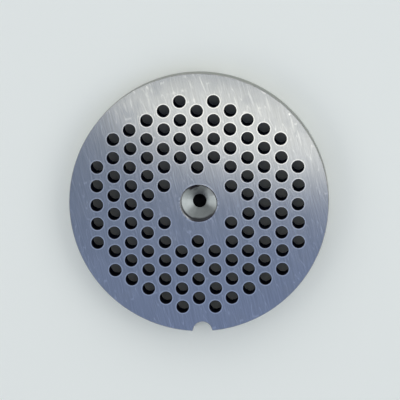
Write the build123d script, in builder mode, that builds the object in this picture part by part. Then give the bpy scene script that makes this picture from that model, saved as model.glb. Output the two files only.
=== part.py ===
from build123d import *
import os
from math import ceil, radians, tan

# Cutting plate of a size 8 meat grinder.
#
# A flat steel disc, ground on both faces and drilled right through with round cutting holes.
# A drilled socket in the middle of the cutting face carries the pin of the feed screw, and a
# half-round notch in the rim keeps the plate from turning in its housing.
#
# Millimetres. The origin is the centre of the back face, +Z points out of the cutting face,
# and the notch lies towards -Y.

# Disc
plate_diameter = 62.0
plate_thickness = 6.0
edge_break = 0.15  # chamfer along the outline of both faces

# Pin socket: a blind hole with a drill point, and a short pilot below the point
socket_diameter = 8.5
socket_mouth_chamfer = 0.25
drill_point_angle = 130.0  # full angle of the cone
pilot_diameter = 3.3
pilot_depth = 0.65  # below the cone
pilot_floor = 0.5  # metal left between the pilot and the back face

# Cutting holes: columns along Y, with every other column half a pitch out of step
hole_diameter = 3.0
column_spacing = 4.0
hole_pitch = 4.5  # from hole to hole along a column
rim_web = 3.0  # least metal between a cutting hole and the rim, as laid out
socket_web = 2.8  # least metal between a cutting hole and the socket, as laid out

# The whole field was drilled a little off the axis of the disc, and a little turned from the notch
field_shift_x = -0.25
field_shift_y = -0.3
field_turn = -1.0  # degrees, anticlockwise as seen from above

# Locating notch: half-round, centred on the rim
notch_radius = 2.3
notch_corner_land = 0.1  # round that the notch's corners keep inside the edge break

# Sizes and places that follow
plate_radius = plate_diameter / 2
socket_radius = socket_diameter / 2
pilot_radius = pilot_diameter / 2
hole_radius = hole_diameter / 2
notch_corner_radius = edge_break + notch_corner_land
field_place = Location((field_shift_x, field_shift_y, 0), (0, 0, field_turn))

# Heights in the socket, from the back face up
cone_depth = (socket_radius - pilot_radius) / tan(radians(drill_point_angle / 2))
cone_bottom = pilot_floor + pilot_depth
cone_top = cone_bottom + cone_depth
chamfer_bottom = plate_thickness - socket_mouth_chamfer

# Hole centres: all those of the two interleaved grids that leave both webs
innermost_centre = socket_radius + socket_web + hole_radius
outermost_centre = plate_radius - rim_web - hole_radius
grid_step = 2 * column_spacing  # from one column to the next that is in step with it
half_columns = ceil(outermost_centre / grid_step)
half_rows = ceil(outermost_centre / hole_pitch)
middle_columns = GridLocations(grid_step, hole_pitch, 2 * half_columns + 1, 2 * half_rows + 1)
shifted_columns = GridLocations(grid_step, hole_pitch, 2 * half_columns, 2 * half_rows)
hole_centres = [
    centre
    for centre in [*middle_columns, *shifted_columns]
    if innermost_centre < centre.position.length < outermost_centre
]

with BuildPart() as cutting_plate:
    # Disc with its notch
    with BuildSketch() as outline:
        Circle(plate_radius)
        with Locations((0, -plate_radius)):
            Circle(notch_radius, mode=Mode.SUBTRACT)
        notch_corners = outline.vertices().group_by(Axis.Y)[0]
        fillet(notch_corners, radius=notch_corner_radius)
    extrude(amount=plate_thickness)

    # Both faces have their outline broken, round the rim and through the notch
    chamfer(cutting_plate.faces().filter_by(Axis.Z).edges(), length=edge_break)

    # Pin socket, turned about the plate's axis
    with BuildSketch(Plane.XZ):
        with BuildLine():
            Polyline(
                (0, pilot_floor),
                (pilot_radius, pilot_floor),
                (pilot_radius, cone_bottom),
                (socket_radius, cone_top),
                (socket_radius, chamfer_bottom),
                (socket_radius + socket_mouth_chamfer, plate_thickness),
                (0, plate_thickness),
                close=True,
            )
        make_face()
    revolve(axis=Axis.Z, mode=Mode.SUBTRACT)

    # Cutting holes, with the sharp edges that shear the meat
    with Locations(field_place):
        with Locations(*hole_centres):
            Hole(hole_radius)

cutting_plate.part.label = "cutting_plate"

os.makedirs("parts", exist_ok=True)
export_step(cutting_plate.part, "parts/cutting_plate.step")
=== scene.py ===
"""Visual model of the cutting plate of a meat grinder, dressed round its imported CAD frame.

The frame is in metres. Sizes of the plate are given in millimetres and turned into metres when a
mesh is made. The plate lies on its back face at z = 0 and its notch lies towards -Y.
"""

import logging
import math
from collections.abc import Mapping
from dataclasses import dataclass, field
from enum import Enum

import bmesh
import bpy
import numpy as np
from mathutils import Matrix, Vector


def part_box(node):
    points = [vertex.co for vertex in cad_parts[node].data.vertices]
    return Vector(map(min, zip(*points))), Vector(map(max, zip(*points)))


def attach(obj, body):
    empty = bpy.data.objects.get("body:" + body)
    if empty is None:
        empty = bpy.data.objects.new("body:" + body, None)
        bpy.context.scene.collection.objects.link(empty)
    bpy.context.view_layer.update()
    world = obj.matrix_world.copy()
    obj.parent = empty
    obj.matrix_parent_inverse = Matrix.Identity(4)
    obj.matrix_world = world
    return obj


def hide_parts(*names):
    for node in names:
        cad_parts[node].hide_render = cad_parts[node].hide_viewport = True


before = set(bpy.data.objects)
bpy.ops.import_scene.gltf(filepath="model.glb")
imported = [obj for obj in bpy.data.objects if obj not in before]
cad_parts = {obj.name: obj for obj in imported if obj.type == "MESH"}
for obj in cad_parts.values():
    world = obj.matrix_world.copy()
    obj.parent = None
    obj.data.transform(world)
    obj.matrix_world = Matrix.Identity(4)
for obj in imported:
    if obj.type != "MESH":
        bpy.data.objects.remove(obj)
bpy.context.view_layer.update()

MM = 0.001
NODE = "cutting_plate"
LOW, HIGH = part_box(NODE)
# Height of the cutting face in millimetres.
TOP = round(HIGH.z / MM, 3)
# Turn of the surface from which an edge is drawn sharp.
SHARP_ANGLE = math.radians(25.0)
# Points of two bands that lie closer than this are one point.
JOIN_DISTANCE = 0.0005 * MM
LOG = logging.getLogger("grinder_plate")


def direction(azimuth: float, tilt: float) -> Vector:
    """Points a unit vector.

    Args:
        azimuth: Degrees anticlockwise from +X.
        tilt: Degrees down from straight up.

    Returns:
        The unit vector.
    """
    around, down = math.radians(azimuth), math.radians(tilt)
    flat = math.sin(down)
    return Vector((flat * math.cos(around), flat * math.sin(around), math.cos(down)))


# ---------------------------------------------------------------------------------------------
# Surfaces
# ---------------------------------------------------------------------------------------------


class Finish(Enum):
    """Finishes found on the plate. The value is the place of the material on the plate's mesh."""

    GROUND_FACE = 0
    BROKEN_EDGE = 1
    DRILLED_WALL = 2
    TURNED_RIM = 3
    BORED_WALL = 4
    TURNED_CONE = 5
    GREASY_PILOT = 6
    MOUTH_EDGE = 7


@dataclass(frozen=True)
class Band:
    """Closed strips of surface, each a stack of rings of points.

    Every ring runs anticlockwise as seen from above. The rings are in the order in which they
    are met on the way from a top pole outwards, down the outside and back in underneath, or up
    through a hole and outwards on top: that order turns every face outwards.

    Attributes:
        rings: Points in millimetres, of shape (strips, rings, points, 3).
        finishes: Finish of the surface between each ring and the next.
        rub_and_highlight: How far each ring is brightened, partly burnished by the knife and partly a
            painted highlight, from 0 to 1.
    """

    rings: np.ndarray
    finishes: tuple[Finish, ...]
    rub_and_highlight: tuple[float, ...]

    def faces(self) -> np.ndarray:
        """Lists the four-cornered faces by the places of their points.

        Returns:
            Array of shape (strips, rings - 1, points, 4).
        """
        strips, rings, points = self.rings.shape[:3]
        index = np.arange(strips * rings * points).reshape(strips, rings, points)
        near, far = index[:, :-1], index[:, 1:]
        following = np.roll(far, -1, axis=2), np.roll(near, -1, axis=2)
        return np.stack([near, far, *following], axis=-1)

    def face_finishes(self) -> np.ndarray:
        """Lists the material place of every face.

        Returns:
            Whole numbers, in the order of the faces.
        """
        strips, rings, points = self.rings.shape[:3]
        places = np.array([finish.value for finish in self.finishes])
        return np.broadcast_to(places[None, :, None], (strips, rings - 1, points)).ravel()

    def point_rub_and_highlight(self) -> np.ndarray:
        """Returns the brightening at every point, partly burnished metal and partly painted highlight,
        in the order of the points.
        """
        rubbed_highlight_ring = np.array(self.rub_and_highlight)[None, :, None]
        return np.broadcast_to(rubbed_highlight_ring, self.rings.shape[:3]).ravel()


def ring(line: np.ndarray, height: float) -> np.ndarray:
    """Lifts a flat closed line to a height.

    Args:
        line: Points of shape (points, 2).
        height: Height in millimetres.

    Returns:
        Points of shape (points, 3).
    """
    return np.column_stack([line, np.full(len(line), height)])


def circle(radius: float, angles: np.ndarray) -> np.ndarray:
    """Returns the points of a circle about the origin at the given angles."""
    return radius * np.column_stack([np.cos(angles), np.sin(angles)])


def loft(
    inner: np.ndarray, outer: np.ndarray, shares: tuple[float, ...], height: float
) -> list[np.ndarray]:
    """Makes rings between two closed lines, each point at a share of the way from one to the other.

    Args:
        inner: First line, of shape (points, 2).
        outer: Second line, of the same shape.
        shares: Shares of the way for the rings.
        height: Height of the rings.

    Returns:
        One ring for each share.
    """
    return [ring((1 - share) * inner + share * outer, height) for share in shares]


# ---------------------------------------------------------------------------------------------
# Parts of the plate
# ---------------------------------------------------------------------------------------------


@dataclass(frozen=True)
class Disc:
    """Disc with its rim and its half-round locating notch.

    Attributes:
        diameter: Diameter of the rim.
        thickness: Height from the back face to the cutting face.
        edge_break: Chamfer along the outline of both faces.
        notch_radius: Radius of the notch, whose centre is on the rim.
        corner_radius: Radius of the corners where the notch meets the rim.
        notch_points: Steps along each half of the notch.
        corner_points: Steps along each of its corners.
    """

    diameter: float
    thickness: float
    edge_break: float = 0.08
    notch_radius: float = 2.3
    corner_radius: float = 0.25
    notch_points: int = 9
    corner_points: int = 3

    def notch_half(self, inset: float) -> np.ndarray:
        """Draws the right half of the notch, from its deepest point out to the rim.

        It is an arc of the notch and an arc of its corner. The corner's centre lies at the
        rim's radius less the corner's from the axis, and at the notch's radius plus the
        corner's from the notch's centre. Moving the outline inwards makes the notch larger and
        the corner smaller about the same centres.

        Args:
            inset: Distance inwards from the outline.

        Returns:
            Points of shape (notch_points + corner_points + 1, 2).
        """
        rim = self.diameter / 2
        to_corner = rim - self.corner_radius
        from_notch = self.notch_radius + self.corner_radius
        corner_y = (from_notch**2 - to_corner**2 - rim**2) / (2 * rim)
        corner_x = math.sqrt(to_corner**2 - corner_y**2)
        rim_angle = math.atan2(corner_y, corner_x)
        notch_angle = math.atan2(corner_y + rim, corner_x)
        along_notch = np.linspace(math.pi / 2, notch_angle, self.notch_points + 1)[:-1]
        along_corner = np.linspace(notch_angle - math.pi, rim_angle, self.corner_points + 1)
        notch = circle(self.notch_radius + inset, along_notch) + [0.0, -rim]
        corner = circle(self.corner_radius - inset, along_corner) + [corner_x, corner_y]
        return np.concatenate([notch, corner])

    def outline(self, inset: float, border: np.ndarray) -> np.ndarray:
        """Draws the outline, moved inwards, with one point for each point of the cells' border.

        The first and the last points make the two halves of the notch. Each other point lies on
        the rim at its border point's bearing from the axis, moved towards the notch by the
        spare bearing next to it, which fades with the cube of the distance to the far side.

        Args:
            inset: Distance inwards from the outline.
            border: The cells' border, anticlockwise from the notch, of shape (points, 2).

        Returns:
            Points of the same shape.
        """
        right = self.notch_half(inset)
        last = len(right) - 1
        bearing = np.arctan2(border[:, 0], -border[:, 1])
        away = np.abs(bearing)
        beside = np.where(bearing > 0, away[last], away[-last])
        spare = beside - math.atan2(right[last, 0], -right[last, 1])
        eased = away - spare * ((math.pi - away) / (math.pi - beside)) ** 3
        radius = self.diameter / 2 - inset
        line = radius * np.column_stack([np.sign(bearing) * np.sin(eased), -np.cos(eased)])
        line[: last + 1] = right
        line[-last:] = right[:0:-1] * [-1.0, 1.0]
        return line

    def rim_band(self, border: np.ndarray) -> Band:
        """Carries the rim's profile along the outline: edge break, wall and edge break.

        Args:
            border: The cells' border, which says where the outline's points go.

        Returns:
            The band from the cutting face's edge down to the back face's edge.
        """
        profile = (
            (self.edge_break, self.thickness),
            (0.0, self.thickness - self.edge_break),
            (0.0, self.edge_break),
            (self.edge_break, 0.0),
        )
        rings = [ring(self.outline(inset, border), height) for inset, height in profile]
        finishes = (Finish.BROKEN_EDGE, Finish.TURNED_RIM, Finish.BROKEN_EDGE)
        return Band(np.stack(rings)[None], finishes, (0.0,) * len(profile))


@dataclass(frozen=True)
class PinSocket:
    """Blind socket in the middle of the cutting face, with a drill point and a pilot below it.

    Attributes:
        diameter: Diameter of the bore.
        mouth_chamfer: Chamfer round its mouth.
        cone_top: Height where the bore ends and the cone begins.
        cone_bottom: Height where the cone ends and the pilot begins.
        pilot_diameter: Diameter of the pilot.
        pilot_floor: Height of the pilot's floor.
        floor_ring: Share of the pilot's radius at which its floor is divided.
    """

    diameter: float = 8.5
    mouth_chamfer: float = 0.25
    cone_top: float = 2.362
    cone_bottom: float = 1.15
    pilot_diameter: float = 3.3
    pilot_floor: float = 0.5
    floor_ring: float = 0.6

    def mouth_radius(self) -> float:
        """Returns the radius of the mouth on the cutting face."""
        return self.diameter / 2 + self.mouth_chamfer

    def band(self, top: float, angles: np.ndarray) -> Band:
        """Turns the socket's profile about the axis, from the pilot's floor up to the mouth.

        Args:
            top: Height of the cutting face.
            angles: Angles of the points of each ring.

        Returns:
            The band from the pole in the pilot's floor out to the mouth's edge.
        """
        bore, pilot = self.diameter / 2, self.pilot_diameter / 2
        profile = (
            (0.0, self.pilot_floor, Finish.GREASY_PILOT),
            (pilot * self.floor_ring, self.pilot_floor, Finish.GREASY_PILOT),
            (pilot, self.pilot_floor, Finish.GREASY_PILOT),
            (pilot, self.cone_bottom, Finish.TURNED_CONE),
            (bore, self.cone_top, Finish.BORED_WALL),
            (bore, top - self.mouth_chamfer, Finish.MOUTH_EDGE),
            (self.mouth_radius(), top, Finish.MOUTH_EDGE),
        )
        rings = [ring(circle(radius, angles), height) for radius, height, _ in profile]
        finishes = tuple(finish for _, _, finish in profile[:-1])
        return Band(np.stack(rings)[None], finishes, (0.0,) * len(profile))


@dataclass(frozen=True)
class DrilledField:
    """Cutting holes on two interleaved grids, each hole in the middle of a six-sided cell.

    The cells fill the drilled part of both faces without gaps. A hole's surface is one band:
    from its cell's outline on the back face in to the hole, up its wall, and out to the cell's
    outline on the cutting face.

    Attributes:
        hole_diameter: Diameter of a cutting hole.
        column_spacing: Distance between the columns of holes, which run along Y.
        hole_pitch: Distance between the holes of a column.
        innermost: Least distance of a hole's centre from the field's centre.
        outermost: Greatest distance of a hole's centre from the field's centre.
        shift: Place of the field's centre, a little off the disc's.
        turn: Turn of the field about its centre, in degrees anticlockwise.
        wander: Spread of the drill from each hole's true place.
        seed: Seed of that spread.
        lip: Chamfer left on a hole's edge by the grinding.
        rubbed_highlight_ring: Width of the bright ring round a hole on the cutting face, partly
            burnished metal and partly painted highlight.
        side_points: Points along each side of a cell.
    """

    hole_diameter: float = 3.0
    column_spacing: float = 4.0
    hole_pitch: float = 4.5
    innermost: float = 8.55
    outermost: float = 26.5
    shift: tuple[float, float] = (-0.25, -0.3)
    turn: float = -1.0
    wander: float = 0.06
    seed: int = 8
    lip: float = 0.04
    rubbed_highlight_ring: float = 0.29
    side_points: int = 8

    def cells(self) -> np.ndarray:
        """Lists the cells as whole numbers: the column, and the height in half pitches.

        Returns:
            Array of shape (holes, 2).
        """
        reach = math.ceil(self.outermost / min(self.column_spacing, self.hole_pitch / 2))
        steps = np.arange(-reach, reach + 1)
        column, half_rows = np.meshgrid(steps, steps, indexing="ij")
        from_middle = np.hypot(column * self.column_spacing, half_rows * self.hole_pitch / 2)
        in_step = (column + half_rows) % 2 == 0
        kept = in_step & (from_middle > self.innermost) & (from_middle < self.outermost)
        return np.column_stack([column[kept], half_rows[kept]])

    def centres(self, cells: np.ndarray) -> np.ndarray:
        """Returns the middles of the given cells on the field's own grid, of shape (cells, 2)."""
        return cells * [self.column_spacing, self.hole_pitch / 2]

    def placed(self, points: np.ndarray) -> np.ndarray:
        """Turns points of the field's own grid to where the field lies on the disc.

        Args:
            points: Flat points, of shape (..., 2).

        Returns:
            Points of the same shape.
        """
        turn = math.radians(self.turn)
        across = [math.cos(turn), math.sin(turn)]
        up = [-math.sin(turn), math.cos(turn)]
        return points @ np.array([across, up]) + self.shift

    def corners(self) -> np.ndarray:
        """Works out the corners of a cell, where the lines midway to its neighbours cross.

        Returns:
            Points of shape (6, 2), anticlockwise from the +X side.
        """
        across, up = self.column_spacing, self.hole_pitch / 2
        tip = (across**2 + up**2) / (2 * across)
        shoulder = (across**2 - up**2) / (2 * across)
        half = np.array([[tip, 0], [shoulder, up], [-shoulder, up]])
        return np.concatenate([half, -half])

    def outline(self) -> np.ndarray:
        """Divides the six sides of a cell evenly, anticlockwise from the +X corner.

        Returns:
            Points of shape (6 * side_points, 2).
        """
        start = self.corners()
        share = np.arange(self.side_points)[None, :, None] / self.side_points
        sides = start[:, None] + share * (np.roll(start, -1, axis=0) - start)[:, None]
        return sides.reshape(-1, 2)

    def band(self, top: float) -> Band:
        """Makes the surfaces of all the cutting holes and of the cells round them.

        Each ring is a circle about the hole, blended towards the cell's outline.

        Args:
            top: Height of the cutting face.

        Returns:
            One strip for each hole.
        """
        hole, edge = self.hole_diameter / 2, self.hole_diameter / 2 + self.lip
        ground, wall = Finish.GROUND_FACE, Finish.DRILLED_WALL
        # radius of the circle, share of the cell's outline, height, brightening (burnished metal and
        # painted highlight), finish that follows
        profile = (
            (edge, 1.0, 0.0, 0.0, ground),
            (edge, 0.0, 0.0, 0.0, wall),
            (hole, 0.0, self.lip, 0.0, wall),
            (hole, 0.0, top - self.lip, 0.0, wall),
            (edge, 0.0, top, 1.0, ground),
            (edge + self.rubbed_highlight_ring / 2, 0.0, top, 0.95, ground),
            (edge + self.rubbed_highlight_ring, 0.0, top, 0.0, ground),
            (edge, 1.0, top, 0.0, ground),
        )
        cells = self.cells()
        wander = np.random.default_rng(self.seed).normal(0.0, self.wander, cells.shape)
        outline = self.outline()
        angles = np.arange(len(outline)) * math.tau / len(outline)
        radius, share, height, rub_and_highlight, finish = zip(*profile)
        drilled = wander[:, None, None] + np.array(radius)[:, None, None] * circle(1.0, angles)
        blend = np.array(share)[:, None, None]
        flat = self.centres(cells)[:, None, None] + (1 - blend) * drilled + blend * outline
        lift = np.broadcast_to(np.array(height)[None, :, None, None], (*flat.shape[:3], 1))
        return Band(np.concatenate([self.placed(flat), lift], axis=-1), finish[:-1], rub_and_highlight)

    def borders(self) -> tuple[np.ndarray, np.ndarray]:
        """Follows the open sides of the cells, those that have no cell across them.

        Returns:
            The border towards the socket and the border towards the rim, each anticlockwise and
            of shape (points, 2).
        """
        cells = self.cells()
        across = np.array([[1, 1], [0, 2], [-1, 1], [-1, -1], [0, -2], [1, -1]])
        facing = cells[:, None] + across
        taken = (facing[:, :, None] == cells).all(-1).any(-1)
        cell, side = np.nonzero(~taken)
        corners = self.corners()
        start = self.centres(cells)[cell] + corners[side]
        end = self.centres(cells)[cell] + np.roll(corners, -1, axis=0)[side]
        following = np.linalg.norm(end[:, None] - start, axis=-1).argmin(axis=1)
        share = np.arange(self.side_points)[:, None] / self.side_points
        lines = []
        left = set(range(len(start)))
        while left:
            walk = [min(left)]
            while following[walk[-1]] != walk[0]:
                walk.append(following[walk[-1]])
            left -= set(walk)
            line = start[walk][:, None] + share * (end - start)[walk][:, None]
            lines.append(self.placed(line.reshape(-1, 2)))
        inner, outer = sorted(lines, key=len)
        return inner[::-1], outer


@dataclass
class GrinderPlate:
    """The whole plate: one piece of steel, made as one closed surface.

    Attributes:
        disc: Disc, rim and notch.
        socket: Pin socket.
        holes: Field of cutting holes.
    """

    disc: Disc
    socket: PinSocket = field(default_factory=PinSocket)
    holes: DrilledField = field(default_factory=DrilledField)

    def face_bands(self, towards_socket: np.ndarray, towards_rim: np.ndarray) -> list[Band]:
        """Fills what the cells leave open on both faces.

        Outside the field, rings run from the cells' border to the face's edge. Inside it, they
        run from the socket's mouth to the cells' border, and on the back face to a pole.

        Args:
            towards_socket: Border of the cells towards the socket.
            towards_rim: Border of the cells towards the rim.

        Returns:
            The bands of the cutting face and of the back face.
        """
        top, ground = self.disc.thickness, Finish.GROUND_FACE
        edge = self.disc.outline(self.disc.edge_break, towards_rim)
        angles = socket_angles(towards_socket)
        mouth = circle(self.socket.mouth_radius(), angles)
        out, back = (0.0, 0.5, 1.0), (1.0, 0.5, 0.0)
        # The first ring past the mouth is close to it, because the mouth's bright edge, partly burnished
        # metal and partly painted highlight, fades there.
        from_mouth = (0.0, 0.1, 0.5, 1.0)
        to_pole = (1.0, 0.6, 0.25, 0.0)
        stacks = [
            loft(towards_rim, edge, out, top),
            loft(mouth, towards_socket, from_mouth, top),
            loft(towards_rim, edge, back, 0.0),
            loft(mouth, towards_socket, back, 0.0)[:-1] + loft(mouth * 0.0, mouth, to_pole, 0.0),
        ]
        first_rub_and_highlight = (0.0, 1.0, 0.0, 0.0)
        bands = []
        for stack, rub_and_highlight in zip(stacks, first_rub_and_highlight):
            rest = len(stack) - 1
            bands.append(Band(np.stack(stack)[None], (ground,) * rest, (rub_and_highlight,) + (0.0,) * rest))
        return bands

    def bands(self) -> list[Band]:
        """Makes all the bands of the plate's surface.

        Returns:
            The bands, which share the rings along which they meet.
        """
        towards_socket, towards_rim = self.holes.borders()
        towards_socket = turned_to(towards_socket, 0.0)
        towards_rim = turned_to(towards_rim, -math.pi / 2)
        top = self.disc.thickness
        return [
            self.holes.band(top),
            *self.face_bands(towards_socket, towards_rim),
            self.disc.rim_band(towards_rim),
            self.socket.band(top, socket_angles(towards_socket)),
        ]

    def build(self, materials: Mapping[Finish, bpy.types.Material]) -> bpy.types.Object:
        """Makes the plate's object, with all its bands joined along their shared rings.

        Args:
            materials: Material of each finish.

        Returns:
            The plate, smooth but for the edges where its surface turns sharply.
        """
        bands = self.bands()
        counts = [math.prod(band.rings.shape[:3]) for band in bands]
        first = np.cumsum([0, *counts[:-1]])
        points = np.concatenate([band.rings.reshape(-1, 3) for band in bands]) * MM
        faces = np.concatenate([b.faces().reshape(-1, 4) + f for b, f in zip(bands, first)])
        mesh = bpy.data.meshes.new("ground_plate")
        mesh.vertices.add(len(points))
        mesh.vertices.foreach_set("co", points.ravel())
        mesh.loops.add(faces.size)
        mesh.loops.foreach_set("vertex_index", faces.ravel())
        mesh.polygons.add(len(faces))
        mesh.polygons.foreach_set("loop_start", np.arange(0, faces.size, 4))
        finishes = np.concatenate([band.face_finishes() for band in bands])
        mesh.polygons.foreach_set("material_index", finishes)
        # Brightening round the holes and the mouth: partly burnished metal, partly painted highlight.
        rub_and_highlight = mesh.attributes.new("rub_and_highlight", "FLOAT", "POINT")
        rub_and_highlight.data.foreach_set("value", np.concatenate([band.point_rub_and_highlight() for band in bands]))
        for finish in Finish:
            mesh.materials.append(materials[finish])
        mesh.update(calc_edges=True)
        self.join(mesh)
        mesh.shade_smooth()
        mesh.set_sharp_from_angle(angle=SHARP_ANGLE)
        plate = bpy.data.objects.new("ground_plate", mesh)
        bpy.context.scene.collection.objects.link(plate)
        return plate

    def join(self, mesh: bpy.types.Mesh) -> None:
        """Merges the points that bands share, and reports whether the surface is closed.

        Args:
            mesh: Mesh of the separate bands.
        """
        made = bmesh.new()
        made.from_mesh(mesh)
        bmesh.ops.remove_doubles(made, verts=made.verts, dist=JOIN_DISTANCE)
        open_edges = sum(not edge.is_manifold for edge in made.edges)
        LOG.info("open edges %d, volume %.0f mm3", open_edges, made.calc_volume(signed=True) / MM**3)
        made.to_mesh(mesh)
        made.free()


def socket_angles(border: np.ndarray) -> np.ndarray:
    """Spaces as many angles evenly round the axis as the border has points.

    Args:
        border: Closed line round the socket.

    Returns:
        Angles in radians, from that of the border's first point.
    """
    start = math.atan2(border[0, 1], border[0, 0])
    return start + np.arange(len(border)) * math.tau / len(border)


def turned_to(line: np.ndarray, angle: float) -> np.ndarray:
    """Starts a closed line at the point that lies nearest to a direction from the axis.

    Args:
        line: Points of shape (points, 2).
        angle: Direction in radians.

    Returns:
        The same points, in the same order, from another start.
    """
    bearing = np.arctan2(line[:, 1], line[:, 0]) - angle
    return np.roll(line, -int(np.argmax(np.cos(bearing))), axis=0)


# ---------------------------------------------------------------------------------------------
# Materials
# ---------------------------------------------------------------------------------------------

Colour = tuple[float, float, float]
Input = float | tuple[float, ...] | bpy.types.NodeSocket


class Graph:
    """Adds nodes to a node tree and joins them."""

    def __init__(self, tree: bpy.types.NodeTree) -> None:
        """Takes over an empty or an existing tree."""
        self.tree = tree

    def add(
        self, kind: str, inputs: Mapping[str | int, Input] | None = None, **settings: object
    ) -> bpy.types.Node:
        """Adds a node.

        Args:
            kind: The node's type, without the word ShaderNode in front.
            inputs: Values of its sockets, or the sockets that feed them, by name or place.
            settings: Other properties of the node.

        Returns:
            The new node.
        """
        node = self.tree.nodes.new(kind if kind.startswith("NodeGroup") else "ShaderNode" + kind)
        for name, value in settings.items():
            setattr(node, name, value)
        for name, value in (inputs or {}).items():
            if isinstance(value, bpy.types.NodeSocket):
                self.tree.links.new(value, node.inputs[name])
            else:
                node.inputs[name].default_value = value
        return node

    def math(self, operation: str, *values: Input) -> bpy.types.NodeSocket:
        """Adds a Math node and returns its value."""
        return self.add("Math", dict(enumerate(values)), operation=operation).outputs[0]

    def mix(self, share: Input, low: Input, high: Input) -> bpy.types.NodeSocket:
        """Blends two numbers and returns the blend."""
        inputs = {"Factor": share, 2: low, 3: high}
        return self.add("Mix", inputs, data_type="FLOAT").outputs[0]

    def blend(self, share: Input, low: Input, high: Input) -> bpy.types.NodeSocket:
        """Blends two colours and returns the blend."""
        inputs = {"Factor": share, 6: opaque(low), 7: opaque(high)}
        return self.add("Mix", inputs, data_type="RGBA").outputs[2]

    def vector(self, operation: str, first: Input, second: Input) -> bpy.types.NodeSocket:
        """Adds a Vector Math node and returns its vector."""
        return self.add("VectorMath", {0: first, 1: second}, operation=operation).outputs["Vector"]

    def measure(self, operation: str, *values: Input) -> bpy.types.NodeSocket:
        """Adds a Vector Math node and returns its number."""
        return self.add("VectorMath", dict(enumerate(values)), operation=operation).outputs["Value"]

    def scaled(self, vector: Input, scale: Input) -> bpy.types.NodeSocket:
        """Multiplies a vector by a number and returns the product."""
        inputs = {0: vector, "Scale": scale}
        return self.add("VectorMath", inputs, operation="SCALE").outputs["Vector"]

    def ramp(
        self, value: Input, low: float, high: float, start: float = 0.0, end: float = 1.0
    ) -> bpy.types.NodeSocket:
        """Eases a value from start, where it is at or below low, to end, where it reaches high."""
        inputs = {0: value, 1: low, 2: high, 3: start, 4: end}
        return self.add("MapRange", inputs, interpolation_type="SMOOTHSTEP").outputs[0]

    def noise(self, vector: Input, detail: float = 2.0) -> bpy.types.NodeSocket:
        """Returns soft noise of one cycle for each unit of the vector."""
        inputs = {"Vector": vector, "Scale": 1.0, "Detail": detail}
        return self.add("TexNoise", inputs).outputs[0]


def opaque(colour: Input) -> Input:
    """Gives a colour its fourth value, and leaves a socket as it is."""
    return (*colour, 1.0) if isinstance(colour, tuple) else colour


class Effect:
    """A node group in the making, with inputs and one output that is a single value."""

    def __init__(self, name: str, inputs: Mapping[str, str], output: str) -> None:
        """Starts the group.

        Args:
            name: Name of the group.
            inputs: Names of its inputs, each with the kind of its socket.
            output: Name of its output.
        """
        self.tree = bpy.data.node_groups.new(name, "ShaderNodeTree")
        for title, kind in inputs.items():
            self.tree.interface.new_socket(name=title, in_out="INPUT", socket_type="NodeSocket" + kind)
        self.tree.interface.new_socket(name=output, in_out="OUTPUT", socket_type="NodeSocketFloat")
        self.graph = Graph(self.tree)
        self.given = self.graph.add("NodeGroupInput").outputs
        self.output = self.graph.add("NodeGroupOutput").inputs[output]

    def drawn_out(self, width: str) -> bpy.types.NodeSocket:
        """Turns the place by the group's lean, then counts it in widths across and lengths along.

        Args:
            width: Name of the input that gives the width.

        Returns:
            The drawn-out place.
        """
        graph, given = self.graph, self.given
        turn = graph.add("CombineXYZ", {2: given["Lean"]}).outputs[0]
        turned = graph.add("Mapping", {"Vector": given["Place"], "Rotation": turn}).outputs[0]
        across = graph.math("DIVIDE", 1.0, given[width])
        along = graph.math("DIVIDE", 1.0, given["Length"])
        scale = graph.add("CombineXYZ", {0: across, 1: along, 2: along}).outputs[0]
        return graph.vector("MULTIPLY", turned, scale)

    def finished(self, value: bpy.types.NodeSocket) -> bpy.types.NodeTree:
        """Puts a value out of the group and returns the group."""
        self.tree.links.new(value, self.output)
        return self.tree


def strokes_effect() -> bpy.types.NodeTree:
    """Makes long soft strokes side by side, as a grinding wheel leaves them.

    The pattern is noise, drawn out along a line that leans from the Y axis.

    Returns:
        Group from a place in millimetres, the strokes' width and length, and their lean in
        radians, to the strokes' height from 0 to 1.
    """
    inputs = {"Place": "Vector", "Width": "Float", "Length": "Float", "Lean": "Float"}
    effect = Effect("grinding_strokes", inputs, "Height")
    return effect.finished(effect.graph.noise(effect.drawn_out("Width"), 3.0))


def scratches_effect() -> bpy.types.NodeTree:
    """Makes thin separate scratches that run along one direction and fade out at their ends.

    A scratch lies where drawn-out noise crosses its middle value, and coarser noise from another
    place of the pattern hides most of them.

    Returns:
        Group from a place in millimetres, the scratches' spacing and length, their lean in
        radians, their thickness and how rare they are, to a mask.
    """
    inputs = {
        "Place": "Vector",
        "Spacing": "Float",
        "Length": "Float",
        "Lean": "Float",
        "Thickness": "Float",
        "Rarity": "Float",
    }
    elsewhere = (7.3, 2.1, 5.7)
    fade = 0.12
    effect = Effect("scratches", inputs, "Mask")
    graph, given = effect.graph, effect.given
    drawn = effect.drawn_out("Spacing")
    off_middle = graph.math("ABSOLUTE", graph.math("SUBTRACT", graph.noise(drawn, 0.0), 0.5))
    line = graph.math("SUBTRACT", 1.0, graph.math("DIVIDE", off_middle, given["Thickness"]))
    coarser = graph.noise(graph.vector("ADD", drawn, elsewhere), 1.0)
    shown = graph.ramp(graph.math("SUBTRACT", coarser, given["Rarity"]), 0.0, fade)
    return effect.finished(graph.math("MULTIPLY", graph.math("MAXIMUM", line, 0.0), shown))


def film_effect() -> bpy.types.NodeTree:
    """Makes soft-edged patches of a thin film, such as dried fat or tarnish.

    A patch lies where noise, raised by the cover, is above a level.

    Returns:
        Group from a place in millimetres, the patches' size and how much they cover, from 0 to
        1, to a mask.
    """
    bare, covered = 0.4, 0.65
    effect = Effect("film", {"Place": "Vector", "Size": "Float", "Cover": "Float"}, "Mask")
    graph, given = effect.graph, effect.given
    cloud = graph.noise(graph.scaled(given["Place"], graph.math("DIVIDE", 1.0, given["Size"])), 4.0)
    raised = graph.math("ADD", cloud, graph.math("SUBTRACT", given["Cover"], 0.5))
    return effect.finished(graph.ramp(raised, bare, covered))


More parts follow.
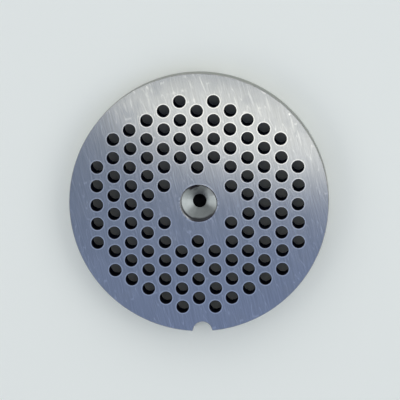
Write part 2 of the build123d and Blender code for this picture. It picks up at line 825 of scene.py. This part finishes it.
def mark_effect() -> bpy.types.NodeTree:
    """Makes one straight mark, strongest along its middle and narrower towards its ends.

    The mask falls from 1 on the line between the ends to 0 at half the width. Along the line,
    half the width is the given width times a sine plus a share, which keeps the ends round.

    Returns:
        Group from a place, the mark's two ends and its width, all in millimetres, to a mask.
    """
    end_share = 0.2
    inputs = {"Place": "Vector", "Start": "Vector", "End": "Vector", "Width": "Float"}
    effect = Effect("mark", inputs, "Mask")
    graph, given = effect.graph, effect.given
    along = graph.vector("SUBTRACT", given["End"], given["Start"])
    gone = graph.vector("SUBTRACT", given["Place"], given["Start"])
    ratio = {0: graph.measure("DOT_PRODUCT", gone, along), 1: graph.measure("DOT_PRODUCT", along, along)}
    share = graph.add("Math", ratio, operation="DIVIDE", use_clamp=True).outputs[0]
    off = graph.measure("DISTANCE", gone, graph.scaled(along, share))
    taper = graph.math("SINE", graph.math("MULTIPLY", share, math.pi))
    half = graph.math("MULTIPLY", given["Width"], graph.math("ADD", taper, end_share))
    fall = graph.math("SUBTRACT", 1.0, graph.math("DIVIDE", off, half))
    return effect.finished(graph.math("MAXIMUM", fall, 0.0))


@dataclass(frozen=True)
class Effects:
    """The node groups that the finishes share.

    Attributes:
        strokes: Strokes of a grinding wheel, or the lines that a tool leaves as it turns.
        scratches: Thin separate scratches.
        film: Patches of a thin film.
        mark: One straight mark.
    """

    strokes: bpy.types.NodeTree
    scratches: bpy.types.NodeTree
    film: bpy.types.NodeTree
    mark: bpy.types.NodeTree


class Surface:
    """A material in the making: its Principled shader and its graph."""

    def __init__(self, name: str, effects: Effects) -> None:
        """Makes the material and the place of every point in millimetres.

        Args:
            name: Name of the material.
            effects: Node groups that the finishes share.
        """
        self.effects = effects
        self.material = bpy.data.materials.new(name)
        self.material.use_nodes = True
        self.graph = Graph(self.material.node_tree)
        self.shader = self.material.node_tree.nodes["Principled BSDF"]
        spot = self.graph.add("TexCoord").outputs["Object"]
        scale = (1 / MM,) * 3
        self.place = self.graph.add("Mapping", {"Vector": spot, "Scale": scale}).outputs[0]

    def aside(self) -> bpy.types.NodeSocket:
        """Returns the place's part square to the plate's axis."""
        return self.graph.vector("MULTIPLY", self.place, (1.0, 1.0, 0.0))

    def use(
        self, group: bpy.types.NodeTree, **values: float | tuple[float, ...]
    ) -> bpy.types.NodeSocket:
        """Places an effect on the surface.

        Args:
            group: Node group of the effect.
            values: Values of its inputs.

        Returns:
            The effect's output.
        """
        node = self.graph.add("Group", None, node_tree=group)
        self.graph.tree.links.new(self.place, node.inputs["Place"])
        for name, value in values.items():
            node.inputs[name.capitalize()].default_value = value
        return node.outputs[0]

    def marks(self, marks: tuple["Mark | Arc", ...]) -> Input:
        """Draws single marks and arcs over each other.

        Args:
            marks: The marks and arcs.

        Returns:
            A mask of them all.
        """
        drawn = 0.0
        for mark in marks:
            drawn = self.graph.math("MAXIMUM", drawn, mark.mask(self))
        return drawn

    def set(self, **values: float | tuple[float, ...]) -> None:
        """Sets the shader's own values.

        Args:
            values: Values by the names of the shader's inputs, in small letters.
        """
        for name, value in values.items():
            title = name.replace("_", " ").title().replace("Ior", "IOR")
            self.shader.inputs[title].default_value = value

    def feed(
        self, colour: Input, roughness: Input, height: Input | None = None, depth: float = 0.0
    ) -> None:
        """Feeds the shader.

        Args:
            colour: Base colour.
            roughness: Roughness.
            height: Height of the surface's relief, from 0 to 1.
            depth: Depth of that relief in millimetres.
        """
        links = self.graph.tree.links
        links.new(colour, self.shader.inputs["Base Color"])
        links.new(roughness, self.shader.inputs["Roughness"])
        if height is not None:
            bump = self.graph.add("Bump", {"Height": height, "Distance": depth * MM})
            links.new(bump.outputs[0], self.shader.inputs["Normal"])


@dataclass(frozen=True)
class Mark:
    """A straight scratch, streak of wear, darker patch or patch of painted shade, in millimetres.

    Attributes:
        start: One end.
        end: The other end.
        width: Half its width at its middle, divided by 1.2.
        strength: How strong it is, from 0 to 1.
    """

    start: tuple[float, float, float]
    end: tuple[float, float, float]
    width: float
    strength: float

    def mask(self, surface: Surface) -> Input:
        """Returns the mask of the mark."""
        line = surface.use(surface.effects.mark, start=self.start, end=self.end, width=self.width)
        return surface.graph.math("MULTIPLY", line, self.strength)


def on_face(x: float, y: float, along: float, turn: float, width: float, strength: float) -> Mark:
    """Places a mark on the cutting face.

    Args:
        x: Place of its middle across the plate.
        y: Place of its middle along the plate.
        along: Its length.
        turn: Its direction, in degrees anticlockwise from -Y.
        width: Half its width at its middle, divided by 1.2.
        strength: How strong it is, from 0 to 1.

    Returns:
        The mark.
    """
    angle = math.radians(turn)
    aside, down = math.sin(angle) * along / 2, math.cos(angle) * along / 2
    return Mark((x - aside, y + down, TOP), (x + aside, y - down, TOP), width, strength)


@dataclass(frozen=True)
class Arc:
    """Darkening along an arc about the plate's axis, in millimetres, used in the socket for painted
    shade and for darker patches.

    It fades from half its reach to its ends, and on its inner side.

    Attributes:
        azimuth: Azimuth of its middle, in degrees anticlockwise from +X.
        reach: Degrees from its middle to either end.
        inner: Radius at which it starts.
        outer: Radius from which it is full.
        strength: How strong it is, from 0 to 1.
    """

    azimuth: float
    reach: float
    inner: float
    outer: float
    strength: float

    def mask(self, surface: Surface) -> Input:
        """Works out where the arc lies from the angle and the distance from the axis.

        Args:
            surface: Surface that it darkens.

        Returns:
            The mask of the arc.
        """
        graph = surface.graph
        reach = math.radians(self.reach)
        aside = surface.aside()
        radius = graph.measure("LENGTH", aside)
        forward = graph.measure("DOT_PRODUCT", aside, tuple(direction(self.azimuth, 90.0)))
        cosine = graph.math("DIVIDE", forward, radius)
        ends = graph.ramp(cosine, math.cos(reach), math.cos(reach / 2))
        breadth = graph.ramp(radius, self.inner, self.outer)
        return graph.math("MULTIPLY", graph.math("MULTIPLY", ends, breadth), self.strength)


# Colour of the darkening in the socket: painted shade on the cone and on the mouth's chamfer, and one
# darker patch by the wall towards +Y.
SHADE_AND_PATCH_COLOUR = (0.03, 0.028, 0.035)
# A mark has its two ends, its width and its strength. An arc has its azimuth, its reach, its
# inner and outer radius and its strength.
# Painted shade on the cone, where its reflection should be dim: towards +Y and -Y, by the wall towards
# -Y, and in the second and third marks. The first mark and the arc at 109 degrees make a darker patch by
# the wall.
CONE_SHADE_AND_PATCH = (
    Mark((-1.5, 2.7, 1.7), (-0.3, 3.1, 1.8), 1.2, 0.7),
    Mark((-0.9, 3.6, 2.2), (1.6, 3.2, 2.1), 1.1, 0.4),
    Mark((2.4, 2.7, 1.9), (3.6, 1.4, 2.2), 1.3, 0.5),
    Arc(109.0, 26.0, 3.15, 3.5, 1.0),
    Arc(280.0, 46.0, 3.6, 4.3, 0.85),
    Arc(275.0, 84.0, 1.0, 1.6, 0.38),
    Arc(85.0, 62.0, 1.0, 1.6, 0.38),
)
# Painted shade on the mouth's chamfer in the arc towards -Y. The arc at 111 degrees darkens it beside
# the darker patch on the cone.
MOUTH_SHADE_AND_PATCH = (
    Arc(111.0, 26.0, 4.15, 4.2, 1.0),
    Arc(284.0, 62.0, 4.15, 4.2, 1.0),
)
# x, y, length, turn, width and strength
WEAR_MARKS = (
    on_face(1.8, 28.3, 4.8, 21.0, 0.16, 0.9),
    on_face(22.9, 18.4, 4.0, 13.0, 0.3, 0.6),
    on_face(24.4, 15.2, 3.8, 14.0, 0.3, 0.5),
    on_face(25.6, 18.6, 3.6, 20.0, 0.22, 0.4),
    on_face(22.2, 20.8, 0.6, 0.0, 0.4, 0.9),
    on_face(17.2, 23.4, 3.8, 14.0, 0.3, 0.5),
    on_face(16.2, 26.2, 1.2, 60.0, 0.4, 0.7),
    on_face(13.2, 24.8, 3.8, 18.0, 0.3, 0.5),
    on_face(15.0, 22.0, 3.4, 20.0, 0.3, 0.4),
    on_face(9.6, 24.0, 3.0, 16.0, 0.25, 0.5),
    on_face(5.8, 26.4, 4.4, 14.0, 0.25, 0.35),
    on_face(-11.2, 25.4, 6.0, 10.0, 0.3, 0.4),
    on_face(-11.4, 28.0, 1.0, 30.0, 0.4, 0.8),
    on_face(-14.6, 27.0, 0.8, 50.0, 0.3, 0.6),
    on_face(-15.4, 24.4, 2.8, 10.0, 0.3, 0.5),
    on_face(-16.8, 23.5, 2.4, 17.0, 0.3, 0.5),
    on_face(-9.8, 23.2, 2.2, 17.0, 0.25, 0.4),
    on_face(24.4, -15.0, 2.7, 36.0, 0.2, 0.5),
    on_face(22.3, -19.6, 0.5, 0.0, 0.3, 0.5),
    on_face(-16.9, -21.5, 3.2, 58.0, 0.9, 0.12),
    on_face(2.1, -7.1, 2.4, 18.0, 0.22, 0.35),
)


@dataclass(frozen=True)
class GroundSteel:
    """Ground face: fine strokes along Y, a few scratches and a faint film.

    Attributes:
        tone: Colour of the bare metal.
        dull: Colour in the strokes' bottoms and under the film.
        bright: Colour of scratches, and of the rings round the holes, which are partly burnished metal
            and partly painted highlight.
        lean: Lean of the strokes from the Y axis, in degrees.
        scratch_lean: How many times the strokes' lean the scratches have.
        fine_share: Share of the fine strokes in the relief. The rest is broad strokes.
        contrast: Heights of the relief between which the colour goes from dull to bare.
        film_strength: How far the film dulls the colour, from 0 to 1.
        scratch_strength: How bright the scratches are, from 0 to 1.
        patches: Heights of the fine strokes between which the marks go from faint to full.
        faint: Strength of a mark where it is faint, from 0 to 1.
        roughness: Least roughness.
        stroke_roughness: Roughness added on the tops of the strokes.
        film_roughness: Roughness added under the film.
        relief: Depth of the strokes in millimetres.
        marks: Scratches and worn streaks, one by one.
    """

    tone: Colour = (0.60, 0.62, 0.65)
    dull: Colour = (0.51, 0.53, 0.555)
    bright: Colour = (0.92, 0.93, 0.94)
    lean: float = -12.0
    scratch_lean: float = 1.2
    fine_share: float = 0.75
    contrast: tuple[float, float] = (0.36, 0.64)
    film_strength: float = 0.35
    scratch_strength: float = 0.5
    patches: tuple[float, float] = (0.3, 0.55)
    faint: float = 0.55
    roughness: float = 0.17
    stroke_roughness: float = 0.04
    film_roughness: float = 0.05
    relief: float = 0.003
    marks: tuple[Mark, ...] = WEAR_MARKS

    def material(self, effects: Effects) -> bpy.types.Material:
        """Makes the material.

        Args:
            effects: Node groups that the finishes share.

        Returns:
            The material.
        """
        surface = Surface("ground_face", effects)
        graph = surface.graph
        lean = math.radians(self.lean)
        fine = surface.use(effects.strokes, width=0.24, length=7.0, lean=lean)
        broad = surface.use(effects.strokes, width=0.7, length=16.0, lean=lean)
        film = surface.use(effects.film, size=5.0, cover=0.4)
        scratch = surface.use(
            effects.scratches,
            spacing=0.9,
            length=6.0,
            lean=lean * self.scratch_lean,
            thickness=0.035,
            rarity=0.46,
        )
        # Ring round each hole and round the socket's mouth, brightened partly as burnished metal and
        # partly as painted highlight.
        rubbed_highlight_ring = graph.add("Attribute", None, attribute_name="rub_and_highlight").outputs["Fac"]
        stroke = graph.math(
            "ADD",
            graph.math("MULTIPLY", fine, self.fine_share),
            graph.math("MULTIPLY", broad, 1 - self.fine_share),
        )
        base = graph.blend(graph.ramp(stroke, *self.contrast), self.dull, self.tone)
        base = graph.blend(graph.math("MULTIPLY", film, self.film_strength), base, self.dull)
        patchy = graph.ramp(fine, *self.patches, self.faint)
        marks = graph.math("MULTIPLY", surface.marks(self.marks), patchy)
        worn_and_highlight = graph.math("MAXIMUM", graph.math("MULTIPLY", scratch, self.scratch_strength), rubbed_highlight_ring)
        base = graph.blend(graph.math("MAXIMUM", marks, worn_and_highlight), base, self.bright)
        rough = graph.mix(stroke, self.roughness, self.roughness + self.stroke_roughness)
        rough = graph.mix(film, rough, self.roughness + self.film_roughness)
        surface.set(metallic=1.0)
        surface.feed(base, rough, stroke, self.relief)
        return surface.material


@dataclass(frozen=True)
class BrokenEdge:
    """Filed edge: plain metal, a little uneven along its length.

    Attributes:
        name: Name of the material.
        tone: Colour of the bare metal.
        dull: Colour under the film.
        shade_and_patches: Darker marks and arcs, one by one: painted shade, and darker patches.
        roughness: Roughness of the bare metal and under the film.
    """

    name: str
    tone: Colour
    dull: Colour
    shade_and_patches: tuple[Mark | Arc, ...] = ()
    roughness: tuple[float, float] = (0.2, 0.3)

    def material(self, effects: Effects) -> bpy.types.Material:
        """Makes the material.

        Args:
            effects: Node groups that the finishes share.

        Returns:
            The material.
        """
        surface = Surface(self.name, effects)
        graph = surface.graph
        film = surface.use(effects.film, size=2.5, cover=0.5)
        base = graph.blend(film, self.tone, self.dull)
        # Darkens the given marks and arcs: painted shade, and darker patches.
        base = graph.blend(surface.marks(self.shade_and_patches), base, SHADE_AND_PATCH_COLOUR)
        surface.set(metallic=1.0)
        surface.feed(base, graph.mix(film, *self.roughness))
        return surface.material


@dataclass(frozen=True)
class DrilledSteel:
    """Wall of a cutting hole, coloured dark and bluish as painted shade for the hole's depth, darker
    still in patches, with faint rings from the drill.

    Attributes:
        tone: Colour of the wall, dark and bluish as painted shade.
        darker_shade: Colour of the darker patches of that painted shade.
        edge_tint: Colour of what is seen at a low angle, bluish as painted shade.
        roughness: Roughness of the wall and of its darker patches.
        relief: Depth of the rings in millimetres.
    """

    tone: Colour = (0.11, 0.125, 0.17)
    darker_shade: Colour = (0.05, 0.055, 0.075)
    edge_tint: Colour = (0.12, 0.17, 0.32)
    roughness: tuple[float, float] = (0.35, 0.55)
    relief: float = 0.01

    def material(self, effects: Effects) -> bpy.types.Material:
        """Makes the material.

        Args:
            effects: Node groups that the finishes share.

        Returns:
            The material.
        """
        surface = Surface("drilled_wall", effects)
        graph = surface.graph
        rings = surface.use(effects.strokes, width=30.0, length=0.25, lean=0.0)
        film = surface.use(effects.film, size=3.0, cover=0.6)
        # Painted shade: the wall's dark bluish colour, darker still in patches.
        base = graph.blend(film, self.tone, self.darker_shade)
        surface.set(metallic=1.0, specular_tint=(*self.edge_tint, 1.0))
        surface.feed(base, graph.mix(film, *self.roughness), rings, self.relief)
        return surface.material


@dataclass(frozen=True)
class TurnedRim:
    """Rim: turned lines round the disc under a brownish film.

    Attributes:
        tone: Colour of the bare metal.
        stain: Colour under the film.
        edge_tint: Colour of what is seen at a low angle.
        contrast: Heights of the lines between which they go from clean to stained.
        line_strength: How far the lines are stained, from 0 to 1.
        roughness: Roughness of the bare metal and under the film.
        relief: Depth of the lines in millimetres.
    """

    tone: Colour = (0.64, 0.65, 0.63)
    stain: Colour = (0.50, 0.505, 0.48)
    edge_tint: Colour = (0.50, 0.51, 0.50)
    contrast: tuple[float, float] = (0.35, 0.7)
    line_strength: float = 0.4
    roughness: tuple[float, float] = (0.32, 0.5)
    relief: float = 0.01

    def material(self, effects: Effects) -> bpy.types.Material:
        """Makes the material.

        Args:
            effects: Node groups that the finishes share.

        Returns:
            The material.
        """
        surface = Surface("turned_rim", effects)
        graph = surface.graph
        lines = surface.use(effects.strokes, width=60.0, length=0.3, lean=0.0)
        film = surface.use(effects.film, size=5.0, cover=0.55)
        base = graph.blend(film, self.tone, self.stain)
        stained = graph.ramp(lines, *self.contrast, 0.0, self.line_strength)
        base = graph.blend(stained, base, self.stain)
        surface.set(metallic=1.0, specular_tint=(*self.edge_tint, 1.0))
        surface.feed(base, graph.mix(film, *self.roughness), lines, self.relief)
        return surface.material


@dataclass(frozen=True)
class TurnedSocket:
    """Wall or cone of the socket: rings left by the drill, with a film of fat.

    Attributes:
        name: Name of the material.
        tone: Colour of the metal.
        dull: Colour on the rings and under the film.
        edge_tint: Colour of what is seen at a low angle.
        shade_and_patches: Darker marks and arcs, one by one: painted shade, and darker patches.
        ring_spacing: Distance between the rings.
        ring_strength: How far the rings dull the colour, from 0 to 1.
        film_strength: How far the film dulls it, from 0 to 1.
        roughness: Roughness between the rings and on them.
        relief: Height of the rings in millimetres.
    """

    name: str
    tone: Colour
    dull: Colour
    edge_tint: Colour = (1.0, 1.0, 1.0)
    shade_and_patches: tuple[Mark | Arc, ...] = ()
    ring_spacing: float = 0.35
    ring_strength: float = 0.3
    film_strength: float = 0.5
    roughness: tuple[float, float] = (0.2, 0.26)
    relief: float = 0.001

    def material(self, effects: Effects) -> bpy.types.Material:
        """Makes the material.

        Args:
            effects: Node groups that the finishes share.

        Returns:
            The material.
        """
        surface = Surface(self.name, effects)
        graph = surface.graph
        outwards = graph.math("DIVIDE", graph.measure("LENGTH", surface.aside()), self.ring_spacing)
        height = graph.add("SeparateXYZ", {0: surface.place}).outputs[2]
        upwards = graph.math("DIVIDE", height, self.ring_spacing)
        rings = graph.noise(graph.add("CombineXYZ", {0: outwards, 2: upwards}).outputs[0], 3.0)
        film = surface.use(effects.film, size=2.2, cover=0.42)
        base = graph.blend(graph.math("MULTIPLY", rings, self.ring_strength), self.tone, self.dull)
        base = graph.blend(graph.math("MULTIPLY", film, self.film_strength), base, self.dull)
        # Darkens the given marks and arcs: painted shade, and darker patches.
        base = graph.blend(surface.marks(self.shade_and_patches), base, SHADE_AND_PATCH_COLOUR)
        surface.set(metallic=1.0, specular_tint=(*self.edge_tint, 1.0))
        surface.feed(base, graph.mix(rings, *self.roughness), rings, self.relief)
        return surface.material


@dataclass(frozen=True)
class BlackPilot:
    """Nearly black surface of the pilot, with a dull shine.

    Attributes:
        tone: Colour of the pilot's surface.
        darker_patch: Colour of its darker patches.
        shine: Strength of its mirror reflection, where 0.5 is the usual strength.
        roughness: Roughness of the surface and of its darker patches.
        relief: Height of the darker patches in millimetres.
    """

    tone: Colour = (0.003, 0.003, 0.003)
    darker_patch: Colour = (0.001, 0.001, 0.001)
    shine: float = 0.08
    roughness: tuple[float, float] = (0.5, 0.75)
    relief: float = 0.05

    def material(self, effects: Effects) -> bpy.types.Material:
        """Makes the material.

        Args:
            effects: Node groups that the finishes share.

        Returns:
            The material.
        """
        surface = Surface("black_pilot", effects)
        graph = surface.graph
        film = surface.use(effects.film, size=0.9, cover=0.5)
        base = graph.blend(film, self.tone, self.darker_patch)
        surface.set(metallic=0.0, specular_ior_level=self.shine)
        surface.feed(base, graph.mix(film, *self.roughness), film, self.relief)
        return surface.material


def plate_materials() -> dict[Finish, bpy.types.Material]:
    """Makes the shared effects and the material of each finish.

    Returns:
        The materials by their finishes.
    """
    effects = Effects(strokes_effect(), scratches_effect(), film_effect(), mark_effect())
    makers = {
        Finish.GROUND_FACE: GroundSteel(),
        Finish.BROKEN_EDGE: BrokenEdge("broken_edge", tone=(0.40, 0.40, 0.41), dull=(0.26, 0.26, 0.26)),
        Finish.MOUTH_EDGE: BrokenEdge(
            "mouth_edge", tone=(0.52, 0.53, 0.56), dull=(0.34, 0.35, 0.37), shade_and_patches=MOUTH_SHADE_AND_PATCH
        ),
        Finish.DRILLED_WALL: DrilledSteel(),
        Finish.TURNED_RIM: TurnedRim(),
        Finish.BORED_WALL: TurnedSocket(
            "bored_wall", tone=(0.2, 0.2, 0.21), dull=(0.12, 0.12, 0.125), edge_tint=(0.42, 0.42, 0.44)
        ),
        Finish.TURNED_CONE: TurnedSocket(
            "turned_cone", tone=(0.345, 0.375, 0.38), dull=(0.25, 0.27, 0.27), shade_and_patches=CONE_SHADE_AND_PATCH
        ),
        Finish.GREASY_PILOT: BlackPilot(),
    }
    return {finish: maker.material(effects) for finish, maker in makers.items()}


# ---------------------------------------------------------------------------------------------
# Studio
# ---------------------------------------------------------------------------------------------


@dataclass(frozen=True)
class SoftLight:
    """A flat soft light that faces the plate.

    Attributes:
        name: Name of the light.
        azimuth: Where it stands, in degrees anticlockwise from +X.
        tilt: How far down from straight up it stands, in degrees.
        distance: Distance from the plate's middle in metres.
        width: Width in metres.
        height: Height in metres.
        radiance: Brightness of its surface, where 1 is a white card in full light.
        colour: Colour of its light.
        hung: Azimuth of the height of an ellipse that hangs level, in degrees. Without it, the
            light is a rectangle that faces the plate's middle.
    """

    name: str
    azimuth: float
    tilt: float
    distance: float
    width: float
    height: float
    radiance: float
    colour: Colour = (1.0, 1.0, 1.0)
    hung: float | None = None

    def build(self, middle: Vector) -> bpy.types.Object:
        """Makes the light.

        Args:
            middle: Middle of the cutting face.

        Returns:
            The light's object.
        """
        lamp = bpy.data.lights.new(self.name, "AREA")
        level = self.hung is not None
        lamp.shape = "ELLIPSE" if level else "RECTANGLE"
        lamp.size, lamp.size_y = self.width, self.height
        area = self.width * self.height * (math.pi / 4 if level else 1.0)
        lamp.energy = self.radiance * math.pi * area
        lamp.color = self.colour
        light = bpy.data.objects.new(self.name, lamp)
        towards = direction(self.azimuth, self.tilt)
        light.location = middle + towards * self.distance
        if level:
            light.rotation_euler = (0.0, 0.0, math.radians(self.hung - 90.0))
        else:
            light.rotation_euler = (-towards).to_track_quat("-Z", "Y").to_euler()
        light.visible_camera = False
        bpy.context.scene.collection.objects.link(light)
        return light


@dataclass(frozen=True)
class Viewpoint:
    """Camera nearly straight above the plate.

    Attributes:
        azimuth: Side to which the camera leans, in degrees anticlockwise from +X.
        tilt: Lean from straight up, in degrees.
        distance: Distance from the middle of the cutting face in metres.
        roll: Turn of the picture, in degrees.
        aim: Place aimed at, right of and above the middle as the camera sees it, in metres.
        lens: Focal length in millimetres.
        seen: Nearest and farthest distance that it sees, in metres.
    """

    azimuth: float = 67.0
    tilt: float = 8.5
    distance: float = 0.7
    roll: float = -1.74
    aim: tuple[float, float] = (0.00033, 0.00079)
    lens: float = 264.1
    seen: tuple[float, float] = (0.01, 20.0)

    def build(self, middle: Vector) -> bpy.types.Object:
        """Makes the scene's camera.

        Args:
            middle: Middle of the cutting face.

        Returns:
            The camera.
        """
        away = direction(self.azimuth, self.tilt)
        right = (-away).cross(Vector((0, 1, 0))).normalized()
        up = right.cross(-away)
        turn = math.radians(self.roll)
        right = right * math.cos(turn) + up * math.sin(turn)
        up = right.cross(-away)
        place = middle + away * self.distance
        back = (place - middle - right * self.aim[0] - up * self.aim[1]).normalized()
        right = (right - back * right.dot(back)).normalized()
        lens = bpy.data.cameras.new("camera")
        lens.lens = self.lens
        lens.clip_start, lens.clip_end = self.seen
        camera = bpy.data.objects.new("camera", lens)
        turned = Matrix((right, back.cross(right), back)).transposed().to_4x4()
        camera.matrix_world = Matrix.Translation(place) @ turned
        bpy.context.scene.collection.objects.link(camera)
        bpy.context.scene.camera = camera
        return camera


@dataclass(frozen=True)
class Studio:
    """Pale floor, soft lights and dim surroundings.

    Attributes:
        floor_colour: Colour of the floor.
        floor_roughness: Roughness of the floor.
        floor_reach: Half the floor's side in metres.
        ambient: Colour and brightness of everything beyond the lights.
        dim: Colour and brightness of the dim place overhead, on its darker side.
        bluer: Colour and brightness of the same place, on its bluer side.
        bluer_towards: Azimuth of the bluer side, in degrees.
        bluer_reach: Distances towards that side, on a ball of radius 1, between which it turns bluer.
        dim_towards: Azimuth and tilt of the middle of that place, in degrees.
        dim_reach: Angles from its middle at which it begins and ends to fade, in degrees.
        lights: The soft lights.
    """

    floor_colour: Colour = (0.872, 0.900, 0.876)
    floor_roughness: float = 0.7
    floor_reach: float = 3.0
    ambient: Colour = (0.67, 0.685, 0.675)
    dim: Colour = (0.214, 0.249, 0.292)
    bluer: Colour = (0.246, 0.316, 0.520)
    bluer_towards: float = 278.0
    bluer_reach: tuple[float, float] = (0.105, 0.152)
    dim_towards: tuple[float, float] = (247.0, 12.0)
    dim_reach: tuple[float, float] = (24.0, 42.0)
    # name, azimuth, tilt, distance, width, height, radiance and, for the first, colour and hung
    lights: tuple[SoftLight, ...] = (
        SoftLight("overhead", 2.9, 3.6, 0.1603, 0.0992, 0.0240, 1.34, (0.99, 0.93, 0.75), 77.2),
        SoftLight("window", 95.0, 66.0, 0.9, 2.4, 0.62, 0.7),
        SoftLight("right_side", 4.0, 46.0, 0.7, 0.5, 0.45, 0.5),
        SoftLight("right_wall", 12.0, 45.0, 0.7, 1.1, 0.45, 0.38),
        SoftLight("left_side", 203.0, 52.0, 0.7, 0.8, 0.35, 0.75),
    )

    def build_floor(self) -> bpy.types.Object:
        """Makes the floor and its material.

        Returns:
            The floor.
        """
        reach = self.floor_reach
        corners = [(x * reach, y * reach, 0.0) for x, y in ((-1, -1), (1, -1), (1, 1), (-1, 1))]
        mesh = bpy.data.meshes.new("floor")
        mesh.from_pydata(corners, [], [(0, 1, 2, 3)])
        material = bpy.data.materials.new("floor")
        material.use_nodes = True
        shader = material.node_tree.nodes["Principled BSDF"]
        shader.inputs["Base Color"].default_value = opaque(self.floor_colour)
        shader.inputs["Roughness"].default_value = self.floor_roughness
        mesh.materials.append(material)
        floor = bpy.data.objects.new("floor", mesh)
        bpy.context.scene.collection.objects.link(floor)
        return floor

    def build_surroundings(self) -> None:
        """Makes the even light all round, with a dim place nearly straight overhead."""
        world = bpy.data.worlds.new("surroundings")
        world.use_nodes = True
        graph = Graph(world.node_tree)
        aim = tuple(direction(*self.dim_towards))
        seen = graph.add("TexCoord").outputs["Generated"]
        facing = graph.measure("DOT_PRODUCT", seen, aim)
        near, far = (math.cos(math.radians(angle)) for angle in self.dim_reach)
        side = tuple(direction(self.bluer_towards, 90.0))
        aside = graph.measure("DOT_PRODUCT", seen, side)
        overhead = graph.blend(graph.ramp(aside, *self.bluer_reach), self.dim, self.bluer)
        colour = graph.blend(graph.ramp(facing, far, near), self.ambient, overhead)
        world.node_tree.links.new(colour, world.node_tree.nodes["Background"].inputs["Color"])
        bpy.context.scene.world = world

    def build(self, middle: Vector) -> None:
        """Makes the floor, the lights and the surroundings.

        Args:
            middle: Middle of the cutting face.
        """
        self.build_floor()
        self.build_surroundings()
        for light in self.lights:
            light.build(middle)


def main() -> None:
    """Builds the plate and its studio."""
    logging.basicConfig(level=logging.INFO, format="%(name)s: %(message)s")
    bpy.context.scene.view_settings.view_transform = "Standard"
    disc = Disc(diameter=round((HIGH.x - LOW.x) / MM, 3), thickness=TOP)
    middle = Vector((0.0, 0.0, HIGH.z))
    Viewpoint().build(middle)
    Studio().build(middle)
    plate = GrinderPlate(disc).build(plate_materials())
    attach(plate, "root")
    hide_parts(NODE)
    LOG.info("%s: %d points, %d faces", plate.name, len(plate.data.vertices), len(plate.data.polygons))


if __name__ == "__main__":
    main()
